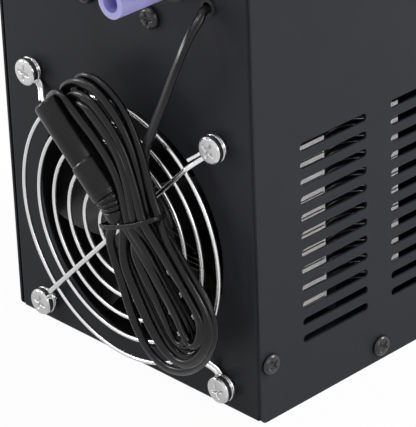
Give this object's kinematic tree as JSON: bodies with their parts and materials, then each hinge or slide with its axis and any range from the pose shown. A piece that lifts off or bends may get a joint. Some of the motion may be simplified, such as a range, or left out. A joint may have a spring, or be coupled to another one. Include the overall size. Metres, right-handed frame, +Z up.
{
  "type": "aquarium chiller",
  "caption": "Small thermoelectric aquarium chiller: slotted sheet metal box, fan behind a wire guard, two hose stubs and a supply cord tied in a hank.",
  "frame": {"origin": "middle of the underside of the base", "axes": "+Z up; the fan end faces -Y; X runs across the fan end"},
  "size_m": [0.1478, 0.167, 0.215],
  "materials": {
    "panel_paint": "black grey powder coat, fine grain",
    "cover_paint": "black grey powder coat, fine grain",
    "black_screw": "black oxide",
    "fan_plastic": "moulded, matt",
    "bronze": "sintered",
    "steel": "plain",
    "magnet": "bonded ferrite",
    "windings": "enamelled wire on a steel core",
    "circuit_board": "green solder mask",
    "guard_wire": "bright plated wire",
    "plated_screw": "bright plated",
    "fin_aluminium": "mill finish",
    "copper": "plain copper",
    "ceramic": "white ceramic",
    "foam": "closed cell foam",
    "black_rubber": "matt",
    "cord_jacket": "satin flexible jacket",
    "lead_jacket": "thin insulation",
    "tie_plastic": "flat tie with a plastic skin",
    "brass": "plated pin",
    "hose_silicone": "lilac silicone, smooth"
  },
  "bodies": {
    "casing": {"floor_pan": "panel_paint", "fan_panel": "panel_paint", "rear_panel": "panel_paint", "top_cover": "cover_paint", "cover_screws": "black_screw", "fan_frame": "fan_plastic", "fan_bearing": "bronze", "fan_stator": "windings", "fan_circuit": "circuit_board", "fan_guard": "guard_wire", "guard_screws": "plated_screw", "heat_sink_fins": "fin_aluminium", "heat_pipes": "copper", "heat_sink_base": "fin_aluminium", "clamp_posts": "steel", "clamp_screws": "steel", "peltier_module": "ceramic", "water_block": "fin_aluminium", "block_insulation": "foam", "hose_grommets": "black_rubber", "terminal_bracket": "panel_paint", "terminal_board": "circuit_board", "bracket_screws": "black_screw", "supply_lead": "cord_jacket", "module_lead": "lead_jacket", "fan_lead": "lead_jacket", "cord_grommet": "black_rubber", "power_cord": "cord_jacket", "cord_hank": "cord_jacket", "cord_tie": "tie_plastic", "cord_socket": "cord_jacket", "socket_shell": "steel", "socket_pin": "brass", "inlet_hose": "hose_silicone", "outlet_hose": "hose_silicone"},
    "fan_rotor": {"fan_impeller": "fan_plastic", "fan_magnet": "magnet", "fan_shaft": "steel"}
  },
  "joints": [
    {"name": "fan_spin", "type": "hinge", "parent": "casing", "child": "fan_rotor", "pos_m": [0, -0.05, 0.0629], "axis": [0, 1, 0], "continuous": true}
  ]
}
